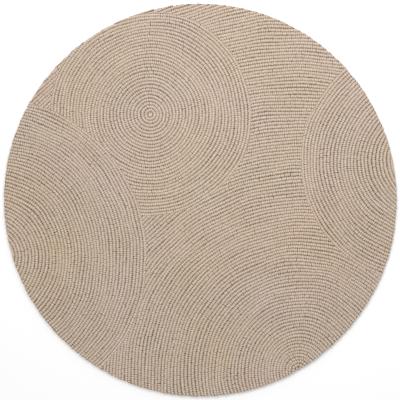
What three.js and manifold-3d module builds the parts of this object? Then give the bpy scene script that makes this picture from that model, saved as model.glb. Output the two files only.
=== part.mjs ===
// A round wool rug with a chunky loop pile.
//
// It lies flat with its middle at the origin, its underside on z = 0 and +Z up, in millimetres.
// The pile stands in rows. Each row is a rib in the top face, and the rows run in fans of
// concentric arcs that lie over one another like raked gravel. The single loops along a row are
// finer than this model goes.

import * as THREE from "three";
import Module from "manifold-3d";

// Driving dimensions
const DIAMETER = 1500;
const CREST_HEIGHT = 14;
const ROW_PITCH = 12.5;
const GROOVE_DEPTH = 4.68;

// The fans from the lowest to the topmost: where a fan's arcs are centred, and how many rows it
// has before it ends in a seam. The first one lies under all the others and runs past the rim.
const FANS = [
  { name: "sweep", centre: { x: 375, y: -650 }, rows: 122 },
  { name: "round fan", centre: { x: -190, y: 325 }, rows: 31 },
  { name: "left fan", centre: { x: -800, y: -215 }, rows: 48 },
  { name: "right fan", centre: { x: 850, y: 150 }, rows: 37 },
];

// How far a facet may stray from the true circle, for the rows and for the rim
const ROW_CHORD_ERROR = 3.5;
const RIM_CHORD_ERROR = 0.5;

// The numbers of sides that a circle is drawn with, close enough for a strip from one to the next
const SIDE_COUNTS = [12, 18, 24, 36, 48, 72, 96];

// How far a fan laps over the cut that is made for it, so that no two walls coincide
const SEAM_LAP = 0.2;

// Clearance of a cutting tool above and below the rug
const CUT_CLEARANCE = 2;

const WOOL = new THREE.MeshStandardMaterial({
  name: "oatmeal wool",
  color: new THREE.Color().setRGB(0.73, 0.66, 0.59, THREE.SRGBColorSpace),
  roughness: 0.95,
  metalness: 0,
});

const manifold = await Module();
manifold.setup();

// The fewest sides that keep to the chord error
function sidesOfCircle(radius, chordError) {
  return SIDE_COUNTS.find((sides) => radius * (1 - Math.cos(Math.PI / sides)) <= chordError);
}

// A round solid about a centre. Its profile runs from the middle of the top, out and down, to the
// middle of the underside, as [radius, height] points. Larger circles get more sides.
function turned(profile, centre, chordError) {
  const points = [];
  const triangles = [];

  // One circle of points for each point of the profile, or a single point on the axis
  const circles = profile.map(([radius, height]) => {
    const count = radius === 0 ? 1 : sidesOfCircle(radius, chordError);
    const first = points.length / 3;
    for (let side = 0; side < count; side += 1) {
      const angle = (2 * Math.PI * side) / count;
      points.push(centre.x + radius * Math.cos(angle), centre.y + radius * Math.sin(angle), height);
    }
    return { first, count };
  });

  // The point of a circle that lies nearest to a share of the full turn
  const pointAt = (circle, share) => {
    return circle.first + (Math.round(share * circle.count) % circle.count);
  };

  // A strip of triangles between each circle and the next one
  for (let index = 1; index < circles.length; index += 1) {
    const before = circles[index - 1];
    const after = circles[index];
    const steps = Math.max(before.count, after.count);
    for (let step = 0; step < steps; step += 1) {
      const a = pointAt(before, step / steps);
      const b = pointAt(before, (step + 1) / steps);
      const c = pointAt(after, step / steps);
      const d = pointAt(after, (step + 1) / steps);
      if (c !== d) triangles.push(a, c, d);
      if (a !== b) triangles.push(a, d, b);
    }
  }

  return new manifold.Manifold(
    new manifold.Mesh({
      numProp: 3,
      vertProperties: new Float32Array(points),
      triVerts: new Uint32Array(triangles),
    }),
  );
}

// A disc whose top rises and falls once for each row, with a groove at its edge
function ribbedDisc(fan) {
  const grooveHeight = CREST_HEIGHT - GROOVE_DEPTH;
  const profile = [[0, grooveHeight]];
  for (let row = 1; row <= fan.rows; row += 1) {
    profile.push([(row - 0.5) * ROW_PITCH, CREST_HEIGHT]);
    profile.push([row * ROW_PITCH, grooveHeight]);
  }
  profile.push([fan.rows * ROW_PITCH, 0]);
  profile.push([0, 0]);
  return turned(profile, fan.centre, ROW_CHORD_ERROR);
}

// A plain disc that takes away what lies under a fan
function seamCutter(fan) {
  const reach = fan.rows * ROW_PITCH - SEAM_LAP;
  const top = CREST_HEIGHT + CUT_CLEARANCE;
  const profile = [
    [0, top],
    [reach, top],
    [reach, -CUT_CLEARANCE],
    [0, -CUT_CLEARANCE],
  ];
  return turned(profile, fan.centre, ROW_CHORD_ERROR);
}

// The round outline that the rug is trimmed to
function outline() {
  const top = CREST_HEIGHT + CUT_CLEARANCE;
  const profile = [
    [0, top],
    [DIAMETER / 2, top],
    [DIAMETER / 2, 0],
    [0, 0],
  ];
  return turned(profile, { x: 0, y: 0 }, RIM_CHORD_ERROR);
}

// The pile in its ground cloth, as one solid
function rugSolid() {
  const [lowest, ...upper] = FANS;
  let solid = ribbedDisc(lowest);
  for (const fan of upper) {
    solid = solid.subtract(seamCutter(fan)).add(ribbedDisc(fan));
  }
  return solid.intersect(outline());
}

// The solid's triangles as a geometry with flat facets
function toGeometry(solid) {
  const mesh = solid.getMesh();
  const geometry = new THREE.BufferGeometry();
  geometry.setAttribute("position", new THREE.BufferAttribute(mesh.vertProperties, 3));
  geometry.setIndex(new THREE.BufferAttribute(mesh.triVerts, 1));
  const flat = geometry.toNonIndexed();
  flat.computeVertexNormals();
  return flat;
}

const rug = new THREE.Mesh(toGeometry(rugSolid()), WOOL);
rug.name = "wool_rug";

const part = new THREE.Group();
part.add(rug);

export default part;
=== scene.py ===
# A round wool rug with a thick loop pile, built loop by loop on its ground cloth.
#
# All lengths are in metres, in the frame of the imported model: the middle of the flat underside is
# the origin and +Z is up. The rows of loops run in fans of concentric arcs, as in the solid.

import math

import bpy
import numpy as np
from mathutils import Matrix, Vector


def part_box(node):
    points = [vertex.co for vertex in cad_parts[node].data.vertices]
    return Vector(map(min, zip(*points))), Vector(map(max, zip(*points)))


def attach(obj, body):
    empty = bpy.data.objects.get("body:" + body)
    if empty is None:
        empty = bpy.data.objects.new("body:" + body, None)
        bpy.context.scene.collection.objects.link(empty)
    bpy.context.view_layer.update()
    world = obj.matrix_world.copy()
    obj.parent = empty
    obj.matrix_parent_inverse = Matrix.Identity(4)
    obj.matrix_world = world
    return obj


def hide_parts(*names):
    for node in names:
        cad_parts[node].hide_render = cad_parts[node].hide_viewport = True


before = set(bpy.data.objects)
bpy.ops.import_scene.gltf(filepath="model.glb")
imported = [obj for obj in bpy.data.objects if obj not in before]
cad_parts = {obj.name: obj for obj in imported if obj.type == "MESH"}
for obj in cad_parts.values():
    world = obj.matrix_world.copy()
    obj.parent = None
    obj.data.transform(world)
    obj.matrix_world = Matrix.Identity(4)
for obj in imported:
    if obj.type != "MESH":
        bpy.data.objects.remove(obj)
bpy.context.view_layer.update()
LOW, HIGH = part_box("wool_rug")

# Driving sizes of the rug
RUG_RADIUS = (HIGH.x - LOW.x) / 2
PILE_TOP = HIGH.z
ROW_PITCH = 0.0125

# The fans from the lowest to the topmost: the centre of a fan's arcs and its number of rows
FANS = (
    {"name": "sweep", "x": 0.375, "y": -0.650, "rows": 122},
    {"name": "round_fan", "x": -0.190, "y": 0.325, "rows": 31},
    {"name": "left_fan", "x": -0.800, "y": -0.215, "rows": 48},
    {"name": "right_fan", "x": 0.850, "y": 0.150, "rows": 37},
)

# The ground cloth that the loops stand in, with a rounded edge a little inside the rim
GROUND_HEIGHT = 0.004
GROUND_INSET = 0.004
GROUND_SIDES = 240
GROUND_ROUNDING_STEPS = 8

# The spacing of the loops along a row, how much it differs from row to row as a standard
# deviation, and how much longer than that a loop is
LOOP_SPACING = 0.0080
SPACING_SPREAD = 0.08
LOOP_OVERLAP = 1.30

# A loop is wider than its row, so that the flanks of neighbouring rows run into one another
LOOP_WIDTH = 0.0156

# The foot of a loop is sunk into the ground cloth, and its crown stays below the top of the pile,
# which the tallest loops reach
FOOT_DEPTH = 0.0010
CROWN_DROP = 0.0010
LOOP_FOOT = GROUND_HEIGHT - FOOT_DEPTH
LOOP_TOP = PILE_TOP - CROWN_DROP

# The power of a loop's outline from above: an ellipse has 2, and more is squarer
LOOP_SQUARENESS = 2.6

# The rings of a loop from its foot up: how many corners each has, how far out they are along and
# across the row and how high, as shares of the loop's half sizes and height, and how far out they
# are on the loop's flat map
LOOP_RINGS = (
    {"corners": 4, "along": 0.88, "across": 0.88, "height": 0.00, "map": 1.00},
    {"corners": 8, "along": 1.00, "across": 1.00, "height": 0.42, "map": 0.80},
    {"corners": 8, "along": 0.95, "across": 0.74, "height": 0.66, "map": 0.58},
    {"corners": 8, "along": 0.76, "across": 0.36, "height": 0.89, "map": 0.30},
)

# The loop's square on the flat map: the middle and half sizes of its walls, and the strip above
# them that its foot takes
FLAT_MAP = "OFBake"
MAP_MIDDLE = (0.50, 0.46)
MAP_HALF = (0.46, 0.42)
MAP_FOOT = ((0.04, 0.92), (0.96, 0.97))

# How far past an edge the middle of a loop may lie, how wide the strip is in which the loops are
# pressed together to stay inside the edge, how far the ends of rows push in under the outer row
# of an upper fan, and how far inside the rim some of the loops end
EDGE_OVERRUN = 0.0020
EDGE_STRIP = 0.0050
SEAM_LAP = 0.0020
RIM_UNEVENNESS = 0.0035

# At the rim the feet of the loops come down over the edge of the ground cloth, to this height
RIM_FOOT = 0.0008

# How closely a row is searched for the places where it is open, and the fewest steps and loops
# that a whole row has
ROW_STEP = 0.001
FEWEST_STEPS = 8
FEWEST_LOOPS = 4

# How unevenly the single loops stand, as standard deviations
HEIGHT_SPREAD = 0.00025
SIZE_SPREAD = 0.035
TURN_SPREAD = math.radians(6)
PLACE_SPREAD = {"across": 0.0004, "along": 0.0005}
LEAN_SPREAD = 0.0003

# A loop's lean grows with this power of the height
LEAN_POWER = 1.5

# How unevenly each row runs by itself, as standard deviations, with the spread of the single
# loops' tones, and the lengths of row over which it changes
ROW_SHIFT = 0.0004
ROW_HEIGHT = 0.0002
ROW_WIDTH = 0.02
ROW_TONE = 0.12
LOOP_TONE = 0.30
ROW_CHANGE = 0.25
ROW_TONE_CHANGE = 0.30

# How far the rows waver together from true arcs, and how long the waves are
WAVER = (
    {"size": 0.0070, "length": 0.60},
    {"size": 0.0021, "length": 0.20},
    {"size": 0.0005, "length": 0.09},
)

# The random waves that add up to a field over the rug and to a change along a row: how many there
# are, and the shares of the stated length that they have
FIELD_WAVES = 7
FIELD_STRETCH = (0.7, 1.4)
ROW_WAVES = 5
ROW_STRETCH = (0.5, 1.8)

# The seed of the random numbers, and how far apart the seeds of the fans' wavers lie
SEED = 7
WAVER_SEED_STEP = 10

# The most loops that one piece of the pile holds
LOOPS_PER_PIECE = 3600

# The plies of the yarn: their slant over a loop, their width, and how far a loop's tone shifts them
PLY_ANGLE = math.radians(38)
PLY_WIDTH = 0.0028
PLY_SHIFT = 9.0

# The noise that makes the fibres, and the share of its scale that they have across the plies,
# along the plies and from tone to tone
FIBRE_NOISE = {"Scale": 1700, "Detail": 3, "Roughness": 0.6}
FIBRE_AXES = (1, 0.15, 0.01)

# The wool is a mix of a dark and a light tone, which give its heather and also its painted shade and
# painted highlights, with this share of the light one where nothing changes it
DARK_WOOL_AND_SHADE = (0.447, 0.352, 0.257, 1)
LIGHT_WOOL_AND_HIGHLIGHT = (0.569, 0.507, 0.445, 1)
EVEN_SHARE = 0.5

# What makes the mix lighter: how strongly it does so, and its value where it changes nothing. The
# plies are painted darker in the hollows between them, as painted shade. The last one is the height
# in the pile, which paints the crowns paler as a painted highlight and the flanks darker as painted
# shade
WOOL_MIX = (
    {"cause": "tone", "strength": 0.10, "even": 0},
    {"cause": "fibres", "strength": 0.90, "even": 0.5},
    {"cause": "plies", "strength": 0.25, "even": 0.64},
    {"cause": "height", "strength": 300, "even": 0.0123},
)

# The noise that makes broad patches, and the least tint of a patch and how much it can gain
PATCH_NOISE = {"Scale": 3.5, "Detail": 2}
PATCH_TINT = (0.965, 0.97, 0.885)
PATCH_GAIN = (0.10, 0.05, 0.24)

# The relief of the yarn in its material, and the share of the fibres in it
YARN_RELIEF = 0.0004
FIBRE_RELIEF = 0.5

# The weave of the ground cloth: how soon it repeats, its relief, and the painted shade in its
# hollows.
# The cloth's colour is its wool's, a touch darker as painted shade for its place under the loops
WEAVE_REPEAT = 0.005
WEAVE_RELIEF = 0.0004
PAINTED_HOLLOW_SHADE = 0.8
GROUND_COLOUR_AND_SHADE = (0.480, 0.395, 0.310, 1)

# The floor fills every view and lies just under the rug
FLOOR_HALF = 40.0
FLOOR_DROP = 0.0005
FLOOR_COLOUR = (0.85, 0.85, 0.85, 1)

# The light from all round, a broad window at the top left and a soft lamp above the far rim
WORLD_STRENGTH = 0.87
WINDOW_PLACE = (-2.0, 2.6, 3.6)
WINDOW = {"energy": 0.8, "angle": math.radians(35)}
LAMP_PLACE = (0.15, 0.80, 1.50)
LAMP = {"shape": "DISK", "size": 1.0, "energy": 10.5}

# How far the light of a point spreads over the pixels, for the sharpness of the photo
FILTER_WIDTH = 1.15


def smooth_noise(x, y, length, seed):
    """A smooth random field over the plane, about -1 to 1, made of a few plane waves."""
    random = np.random.default_rng(seed)
    total = np.zeros_like(x)
    for _ in range(FIELD_WAVES):
        heading = random.uniform(0, 2 * math.pi)
        stretch = random.uniform(*FIELD_STRETCH)
        shift = random.uniform(0, 2 * math.pi)
        turns = (x * math.cos(heading) + y * math.sin(heading)) / (length * stretch)
        total += np.sin(2 * math.pi * turns + shift)
    return total / math.sqrt(FIELD_WAVES)


def waver(index, x, y):
    """How far the rows of a fan stray outward from true arcs at a place."""
    outward = np.zeros_like(x)
    for number, wave in enumerate(WAVER):
        seed = SEED + WAVER_SEED_STEP * index + number
        outward += wave["size"] * smooth_noise(x, y, wave["length"], seed)
    return outward


def on_row(index, radius, angles):
    """Places along a row of a fan, which wavers a little from its true arc."""
    fan = FANS[index]
    x = fan["x"] + radius * np.cos(angles)
    y = fan["y"] + radius * np.sin(angles)
    outward = waver(index, x, y)
    return x + outward * np.cos(angles), y + outward * np.sin(angles)


def past_seam(upper, x, y):
    """How far places lie past the line at which lower rows end, just under a fan's outer row."""
    fan = FANS[upper]
    edge = fan["rows"] * ROW_PITCH - SEAM_LAP + waver(upper, x, y)
    return edge - np.hypot(x - fan["x"], y - fan["y"])


def past_edge(index, x, y):
    """How far places lie past the edge of a fan, which is the rim or the seam with an upper fan."""
    past = np.hypot(x, y) - RUG_RADIUS
    for upper in range(index + 1, len(FANS)):
        past = np.maximum(past, past_seam(upper, x, y))
    return past


def reach_to_edge(index, x, y, angles, side):
    """How much wider loops are on one side, where no other row fits between them and the edge."""
    across = side * ROW_PITCH * np.cos(angles), side * ROW_PITCH * np.sin(angles)
    at_next_row = past_edge(index, x + across[0], y + across[1])
    at_flank = past_edge(index, x + across[0] / 2, y + across[1] / 2)
    return np.where(at_next_row > EDGE_OVERRUN, np.maximum(EDGE_OVERRUN - at_flank, 0), 0)


def pressed(past):
    """How far a point moves back, for how far it lies past an edge."""
    depth = np.maximum(past + EDGE_STRIP, 0)
    return depth - EDGE_STRIP * np.tanh(depth / EDGE_STRIP)


def press_inside(index, x, y, rim_inset):
    """Points of a fan's loops, pressed back where they come to the rim or to a seam."""
    for upper in range(index + 1, len(FANS)):
        fan = FANS[upper]
        distance = np.hypot(x - fan["x"], y - fan["y"])
        growth = 1 + pressed(past_seam(upper, x, y)) / distance
        x = fan["x"] + (x - fan["x"]) * growth
        y = fan["y"] + (y - fan["y"]) * growth
    distance = np.hypot(x, y)
    past_rim = distance - RUG_RADIUS + rim_inset
    shrink = 1 - pressed(past_rim) / np.maximum(distance, EDGE_STRIP)
    return x * shrink, y * shrink


def stretches(open_here):
    """Where each run of open places along a row starts, and where the closed ones go on."""
    padded = np.concatenate(([False], open_here, [False]))
    edges = np.flatnonzero(padded[1:] != padded[:-1])
    return list(zip(edges[0::2], edges[1::2]))


def row_places(index, row, random):
    """The angles at which the loops of a row stand, even in each open stretch, and their spacing."""
    radius = (row + 0.5) * ROW_PITCH
    spacing = LOOP_SPACING * (1 + random.normal(0, SPACING_SPREAD))
    count = max(FEWEST_STEPS, round(2 * math.pi * radius / ROW_STEP))
    angles = np.arange(count) * (2 * math.pi / count)
    open_here = past_edge(index, *on_row(index, radius, angles)) < EDGE_OVERRUN
    if open_here.all():
        loops = max(FEWEST_LOOPS, round(2 * math.pi * radius / spacing))
        turn = 2 * math.pi / loops
        return (np.arange(loops) + random.uniform()) * turn, np.full(loops, radius * turn)
    if not open_here.any():
        return np.zeros(0), np.zeros(0)

    # The turn starts in a closed place, so that no stretch runs over its end
    start = int(np.flatnonzero(~open_here)[0])
    found = []
    spacings = []
    for first, last in stretches(np.roll(open_here, -start)):
        loops = max(1, round((last - first) * ROW_STEP / spacing))
        share = (last - first) / loops
        places = start + first + (np.arange(loops) + 0.5) * share
        found.append(places * (2 * math.pi / count))
        spacings.append(np.full(loops, share * ROW_STEP))
    return np.concatenate(found), np.concatenate(spacings)


def row_noise(random, rows, arcs, length):
    """A smooth random value along each row, different from row to row, with a spread of 1."""
    total = np.zeros_like(arcs)
    for _ in range(ROW_WAVES):
        stretch = random.uniform(*ROW_STRETCH, rows.max() + 1)
        shift = random.uniform(0, 2 * math.pi, rows.max() + 1)
        total += np.sin(2 * math.pi * arcs / (length * stretch[rows]) + shift[rows])
    return total * math.sqrt(2 / ROW_WAVES)


def fan_loops(index):
    """Every loop of a fan: where it stands, which way its row runs and how it differs."""
    fan = FANS[index]
    random = np.random.default_rng(SEED + index)
    places = [row_places(index, row, random) for row in range(fan["rows"])]
    rows = np.repeat(np.arange(fan["rows"]), [len(angles) for angles, _ in places])
    angles, spacings = np.concatenate(places, axis=1)
    radii = (rows + 0.5) * ROW_PITCH
    arcs = radii * angles
    count = len(rows)

    # Each row and each loop strays a little by itself
    x, y = on_row(index, radii, angles)
    reach_in = reach_to_edge(index, x, y, angles, -1)
    reach_out = reach_to_edge(index, x, y, angles, 1)
    outward = random.normal(0, PLACE_SPREAD["across"], count)
    outward += ROW_SHIFT * row_noise(random, rows, arcs, ROW_CHANGE)
    along = random.normal(0, PLACE_SPREAD["along"], count)
    x += outward * np.cos(angles) - along * np.sin(angles)
    y += outward * np.sin(angles) + along * np.cos(angles)

    row_width = 1 + ROW_WIDTH * row_noise(random, rows, arcs, ROW_CHANGE)
    row_height = ROW_HEIGHT * row_noise(random, rows, arcs, ROW_CHANGE)
    row_tone = ROW_TONE * row_noise(random, rows, arcs, ROW_TONE_CHANGE)
    size = 1 + random.normal(0, SIZE_SPREAD, (count, 2))
    return {
        "x": x,
        "y": y,
        "heading": angles + math.pi / 2 + random.normal(0, TURN_SPREAD, count),
        "length": spacings * LOOP_OVERLAP * size[:, 0],
        "width": LOOP_WIDTH * row_width * size[:, 1],
        "reach_in": reach_in,
        "reach_out": reach_out,
        "height": LOOP_TOP - LOOP_FOOT + row_height + random.normal(0, HEIGHT_SPREAD, count),
        "lean": random.normal(0, LEAN_SPREAD, (count, 2)),
        "tone": row_tone + random.normal(0, LOOP_TONE, count),
        "rim_inset": RIM_UNEVENNESS * random.uniform(0, 1, count),
    }


def ring_headings(ring):
    """Which way each corner of a ring lies from the middle, as (cosine, sine)."""
    angles = (np.arange(ring["corners"]) + 0.5) * (2 * math.pi / ring["corners"])
    return np.stack([np.cos(angles), np.sin(angles)], axis=1)


def unit_loop():
    """Points of one loop as (along, across, up), its half sizes and height being 1."""
    points = []
    for ring in LOOP_RINGS:
        heading = ring_headings(ring)
        outline = np.sign(heading) * np.abs(heading) ** (2 / LOOP_SQUARENESS)
        up = np.full(ring["corners"], ring["height"])
        points.append(np.column_stack([outline * (ring["along"], ring["across"]), up]))
    points.append(np.array([[0, 0, 1]]))
    return np.concatenate(points)


def unit_faces():
    """Faces of one loop: its walls, its crown and, last, its foot."""
    faces = []
    first = 0
    for lower, upper in zip(LOOP_RINGS, LOOP_RINGS[1:]):
        next_first = first + lower["corners"]
        for side in range(upper["corners"]):
            low = first + side * lower["corners"] // upper["corners"]
            low_next = first + (side + 1) * lower["corners"] // upper["corners"] % lower["corners"]
            high = next_first + side
            high_next = next_first + (side + 1) % upper["corners"]
            corners = (low, high_next, high) if low == low_next else (low, low_next, high_next, high)
            faces.append(corners)
        first = next_first
    sides = LOOP_RINGS[-1]["corners"]
    for side in range(sides):
        faces.append((first + side, first + (side + 1) % sides, first + sides))
    faces.append(tuple(reversed(range(LOOP_RINGS[0]["corners"]))))
    return faces


def unit_map():
    """Where each corner of each face lies in the loop's square of the flat map."""
    places = []
    for ring in LOOP_RINGS:
        heading = ring_headings(ring)
        square = heading / np.abs(heading).max(axis=1, keepdims=True)
        places.append(ring["map"] * square)
    places.append(np.zeros((1, 2)))
    places = np.array(MAP_MIDDLE) + np.concatenate(places) * MAP_HALF
    (left, low), (right, high) = MAP_FOOT
    foot = np.array([(left, low), (left, high), (right, high), (right, low)])
    *walls, _ = unit_faces()
    return np.concatenate([places[list(face)] for face in walls] + [foot])


def loops_mesh(name, index, loops, chosen):
    """One joined mesh of the chosen loops of a fan."""
    shape = unit_loop()
    faces = unit_faces()
    count = len(chosen)

    # Each loop's points, stretched, leant and turned into place
    along = shape[None, :, 0] * loops["length"][chosen, None] / 2
    across = shape[None, :, 1] * loops["width"][chosen, None] / 2
    across = across + np.maximum(shape[None, :, 1], 0) * loops["reach_in"][chosen, None]
    across = across + np.minimum(shape[None, :, 1], 0) * loops["reach_out"][chosen, None]
    rise = shape[None, :, 2] ** LEAN_POWER
    u = along + loops["lean"][chosen, 0, None] * rise
    v = across + loops["lean"][chosen, 1, None] * rise
    cosine = np.cos(loops["heading"][chosen])[:, None]
    sine = np.sin(loops["heading"][chosen])[:, None]
    x = loops["x"][chosen, None] + u * cosine - v * sine
    y = loops["y"][chosen, None] + u * sine + v * cosine
    x, y = press_inside(index, x, y, loops["rim_inset"][chosen, None])
    z = LOOP_FOOT + shape[None, :, 2] * loops["height"][chosen, None]

    # At the rim the feet reach down over the edge of the ground cloth
    near_rim = np.clip((np.hypot(x, y) - RUG_RADIUS + EDGE_STRIP) / EDGE_STRIP, 0, 1)
    z -= (LOOP_FOOT - RIM_FOOT) * (1 - shape[None, :, 2]) ** 2 * near_rim

    corners = np.concatenate([np.array(face) for face in faces])
    face_sizes = np.array([len(face) for face in faces])
    all_corners = (corners[None, :] + len(shape) * np.arange(count)[:, None]).ravel()
    all_sizes = np.tile(face_sizes, count)
    starts = np.concatenate(([0], np.cumsum(all_sizes)[:-1]))

    mesh = bpy.data.meshes.new(name)
    mesh.vertices.add(count * len(shape))
    mesh.vertices.foreach_set("co", np.stack([x, y, z], axis=2).ravel())
    mesh.loops.add(len(all_corners))
    mesh.loops.foreach_set("vertex_index", all_corners.astype(np.int32))
    mesh.polygons.add(len(all_sizes))
    mesh.polygons.foreach_set("loop_start", starts.astype(np.int32))
    mesh.update(calc_edges=True)
    mesh.shade_smooth()

    # A flat map of the yarn with a square for each loop
    side = math.ceil(math.sqrt(count))
    squares = np.stack([np.arange(count) % side, np.arange(count) // side], axis=1)
    flat = (squares[:, None, :] + unit_map()[None, :, :]) / side
    mesh.uv_layers.new(name=FLAT_MAP).data.foreach_set("uv", flat.astype(np.float32).ravel())

    # Where a point lies on its own loop, and the loop's tone, for the material
    tone = np.broadcast_to(loops["tone"][chosen, None], along.shape)
    yarn = np.stack([along, across, tone], axis=2)
    attribute = mesh.attributes.new("yarn", "FLOAT_VECTOR", "POINT")
    attribute.data.foreach_set("vector", yarn.astype(np.float32).ravel())
    return mesh


def add_object(name, mesh):
    thing = bpy.data.objects.new(name, mesh)
    bpy.context.scene.collection.objects.link(thing)
    return thing


def pile_pieces(material):
    """The pile, in pieces of one fan or part of a fan."""
    pieces = []
    for index, fan in enumerate(FANS):
        loops = fan_loops(index)
        count = len(loops["x"])
        parts = math.ceil(count / LOOPS_PER_PIECE)
        for number, chosen in enumerate(np.array_split(np.arange(count), parts)):
            name = f"pile_{fan['name']}_{number + 1}"
            piece = add_object(name, loops_mesh(name, index, loops, chosen))
            piece.data.materials.append(material)
            pieces.append(piece)
    return pieces


def ground_cloth(material):
    """The cloth that the loops stand in: a thin round slab with a rounded edge."""
    edge = RUG_RADIUS - GROUND_INSET
    middle = GROUND_HEIGHT / 2
    turn = math.pi / GROUND_ROUNDING_STEPS
    rounding = [turn * step for step in range(GROUND_ROUNDING_STEPS + 1)]
    rings = [(edge - middle + middle * math.sin(a), middle + middle * math.cos(a)) for a in rounding]
    points = [(0, 0, GROUND_HEIGHT)]
    for radius, height in rings:
        for side in range(GROUND_SIDES):
            angle = 2 * math.pi * side / GROUND_SIDES
            points.append((radius * math.cos(angle), radius * math.sin(angle), height))
    points.append((0, 0, 0))

    faces = []
    for side in range(GROUND_SIDES):
        next_side = (side + 1) % GROUND_SIDES
        faces.append((0, 1 + side, 1 + next_side))
        for ring in range(len(rings) - 1):
            upper = 1 + ring * GROUND_SIDES
            lower = upper + GROUND_SIDES
            faces.append((upper + side, lower + side, lower + next_side, upper + next_side))
        last = 1 + (len(rings) - 1) * GROUND_SIDES
        faces.append((last + side, len(points) - 1, last + next_side))
    mesh = bpy.data.meshes.new("ground_cloth")
    mesh.from_pydata(points, [], faces)
    mesh.materials.append(material)
    mesh.update()
    return add_object("ground_cloth", mesh)


class Shading:
    """A material under construction, whose nodes are added with their inputs by name."""

    def __init__(self, name):
        self.material = bpy.data.materials.new(name)
        self.material.use_nodes = True
        self.tree = self.material.node_tree
        self.tree.nodes.clear()

    def add(self, kind, inputs, **settings):
        """Adds a node. Each input is a fixed value or the output of another node."""
        node = self.tree.nodes.new("ShaderNode" + kind)
        for name, value in settings.items():
            setattr(node, name, value)
        for name, value in inputs.items():
            if isinstance(value, bpy.types.NodeSocket):
                self.tree.links.new(value, node.inputs[name])
            else:
                node.inputs[name].default_value = value
        return node

    def math(self, operation, first, second=0.0, third=0.0):
        inputs = {0: first, 1: second, 2: third}
        return self.add("Math", inputs, operation=operation).outputs[0]

    def vector_math(self, operation, first, second, third=(0, 0, 0)):
        inputs = {0: first, 1: second, 2: third}
        return self.add("VectorMath", inputs, operation=operation).outputs[0]

    def mix(self, share, first, second, blend_type="MIX"):
        inputs = {0: share, 6: first, 7: second}
        return self.add("Mix", inputs, data_type="RGBA", blend_type=blend_type).outputs[2]

    def bump(self, height, distance):
        inputs = {"Height": height, "Strength": 1.0, "Distance": distance}
        return self.add("Bump", inputs).outputs[0]

    def finish(self, inputs):
        """Adds the surface and its output, and gives the finished material."""
        surface = self.add("BsdfPrincipled", inputs)
        self.add("OutputMaterial", {"Surface": surface.outputs[0]})
        return self.material


def wool_material():
    """Oatmeal wool yarn of twisted plies, heathered and uneven in its dye, with painted shade between
    the plies and low on the loops and a painted highlight on the crowns.
    """
    shading = Shading("oatmeal_wool")
    yarn = shading.add("Attribute", {}, attribute_name="yarn").outputs["Vector"]
    place = shading.add("TexCoord", {}).outputs["Object"]
    tone = shading.add("SeparateXYZ", {0: yarn}).outputs[2]

    # The plies lie slantwise over each loop, like cords side by side
    turned = shading.add("VectorRotate", {"Vector": yarn, "Angle": PLY_ANGLE}, rotation_type="Z_AXIS")
    over = shading.add("SeparateXYZ", {0: turned.outputs[0]}).outputs[0]
    phase = shading.math("MULTIPLY", tone, PLY_SHIFT)
    turns = shading.math("MULTIPLY_ADD", over, math.pi / PLY_WIDTH, phase)
    ply = shading.math("ABSOLUTE", shading.math("SINE", turns))

    # Fibres run along the plies
    stretched = shading.vector_math("MULTIPLY", turned.outputs[0], FIBRE_AXES)
    fibres = shading.add("TexNoise", {"Vector": stretched, **FIBRE_NOISE}).outputs[0]

    # Two tones of wool, mixed by loop and by fibre, with painted shade in the hollows between the
    # plies, and by height, for a painted highlight on the crowns and painted shade on the flanks
    up = shading.add("SeparateXYZ", {0: place}).outputs[2]
    causes = {"tone": tone, "fibres": fibres, "plies": ply, "height": up}
    share = EVEN_SHARE
    for row in WOOL_MIX:
        offset = -row["strength"] * row["even"]
        gain = shading.math("MULTIPLY_ADD", causes[row["cause"]], row["strength"], offset)
        share = shading.math("ADD", share, gain)
    colour = shading.mix(share, DARK_WOOL_AND_SHADE, LIGHT_WOOL_AND_HIGHLIGHT)

    # Broad patches that are a touch warmer, greener or lighter
    patches = shading.add("TexNoise", {"Vector": place, **PATCH_NOISE}).outputs[1]
    tint = shading.vector_math("MULTIPLY_ADD", patches, PATCH_GAIN, PATCH_TINT)
    colour = shading.mix(1.0, colour, tint, "MULTIPLY")

    height = shading.math("MULTIPLY_ADD", fibres, FIBRE_RELIEF, ply)
    bump = shading.bump(height, YARN_RELIEF)
    return shading.finish({
        "Base Color": colour,
        "Normal": bump,
        "Roughness": 0.92,
        "Specular IOR Level": 0.25,
        "Sheen Weight": 0.15,
        "Sheen Roughness": 0.5,
    })


def ground_material():
    """Plain-woven ground cloth in undyed yarn, a touch darker than the pile as painted shade, with
    painted shade in the hollows of the weave.
    """
    shading = Shading("ground_weave")
    place = shading.add("TexCoord", {}).outputs["Object"]
    turns = 2 * math.pi / WEAVE_REPEAT
    waves = shading.vector_math("MULTIPLY", place, (turns, turns, 0))
    waves = shading.add("VectorMath", {0: waves}, operation="SINE").outputs[0]
    warp, weft, _ = shading.add("SeparateXYZ", {0: waves}).outputs
    weave = shading.math("MULTIPLY_ADD", shading.math("MULTIPLY", warp, weft), 0.5, 0.5)
    # The hollows of the weave are painted darker, as painted shade
    shaded_hollows = tuple(PAINTED_HOLLOW_SHADE * part for part in GROUND_COLOUR_AND_SHADE)
    colour = shading.mix(weave, shaded_hollows, GROUND_COLOUR_AND_SHADE)
    bump = shading.bump(weave, WEAVE_RELIEF)
    return shading.finish({"Base Color": colour, "Normal": bump, "Roughness": 0.95})


def plain_floor():
    shading = Shading("plain_floor")
    material = shading.finish({
        "Base Color": FLOOR_COLOUR,
        "Roughness": 0.9,
        "Specular IOR Level": 0.1,
    })
    sides = [(-1, -1), (1, -1), (1, 1), (-1, 1)]
    corners = [(x * FLOOR_HALF, y * FLOOR_HALF, -FLOOR_DROP) for x, y in sides]
    mesh = bpy.data.meshes.new("floor")
    mesh.from_pydata(corners, [], [(0, 1, 2, 3)])
    mesh.materials.append(material)
    add_object("floor", mesh)


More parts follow.
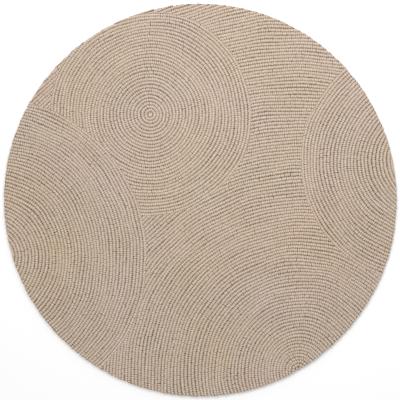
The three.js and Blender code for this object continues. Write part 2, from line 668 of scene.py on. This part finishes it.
def aim(thing, place, target):
    """Puts a lamp or a camera at a place and points it at a target."""
    thing.location = place
    thing.rotation_euler = (Vector(target) - Vector(place)).to_track_quat("-Z", "Y").to_euler()
    bpy.context.scene.collection.objects.link(thing)


def add_light(name, kind, place, target, **settings):
    light = bpy.data.lights.new(name, kind)
    for setting, value in settings.items():
        setattr(light, setting, value)
    lamp = bpy.data.objects.new(name, light)
    lamp.visible_camera = False
    aim(lamp, place, target)


def studio_light():
    """Even white light from all round, with more of it from the window and the lamp."""
    world = bpy.data.worlds.new("studio")
    world.use_nodes = True
    background = world.node_tree.nodes["Background"]
    background.inputs["Color"].default_value = (1, 1, 1, 1)
    background.inputs["Strength"].default_value = WORLD_STRENGTH
    bpy.context.scene.world = world
    add_light("window", "SUN", WINDOW_PLACE, (0, 0, 0), **WINDOW)
    below_lamp = (LAMP_PLACE[0], LAMP_PLACE[1], 0)
    add_light("soft_lamp", "AREA", LAMP_PLACE, below_lamp, **LAMP)


def photo_camera():
    """Straight down on the rug, which fills the square frame as it does in the photo."""
    frame_pixels = 400
    rug_radius_pixels = 196.7
    rug_centre_pixels = (200.3, 200.0)
    lens = 90
    sensor = 36
    metres_per_pixel = RUG_RADIUS / rug_radius_pixels
    half = frame_pixels / 2
    x = (half - rug_centre_pixels[0]) * metres_per_pixel
    y = (rug_centre_pixels[1] - half) * metres_per_pixel
    z = PILE_TOP / 2 + frame_pixels * metres_per_pixel * lens / sensor

    data = bpy.data.cameras.new("camera")
    data.lens = lens
    data.sensor_width = sensor
    camera = bpy.data.objects.new("camera", data)
    aim(camera, (x, y, z), (x, y, 0))
    bpy.context.scene.camera = camera


def build():
    pile = pile_pieces(wool_material())
    ground = ground_cloth(ground_material())
    for piece in (ground, *pile):
        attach(piece, "root")
        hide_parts("wool_rug")
    plain_floor()
    studio_light()
    photo_camera()
    scene = bpy.context.scene
    scene.view_settings.view_transform = "Standard"
    scene.cycles.filter_width = FILTER_WIDTH

    # Denoising takes the rows and the single loops for noise and smooths them away
    scene.cycles.use_denoising = False


build()
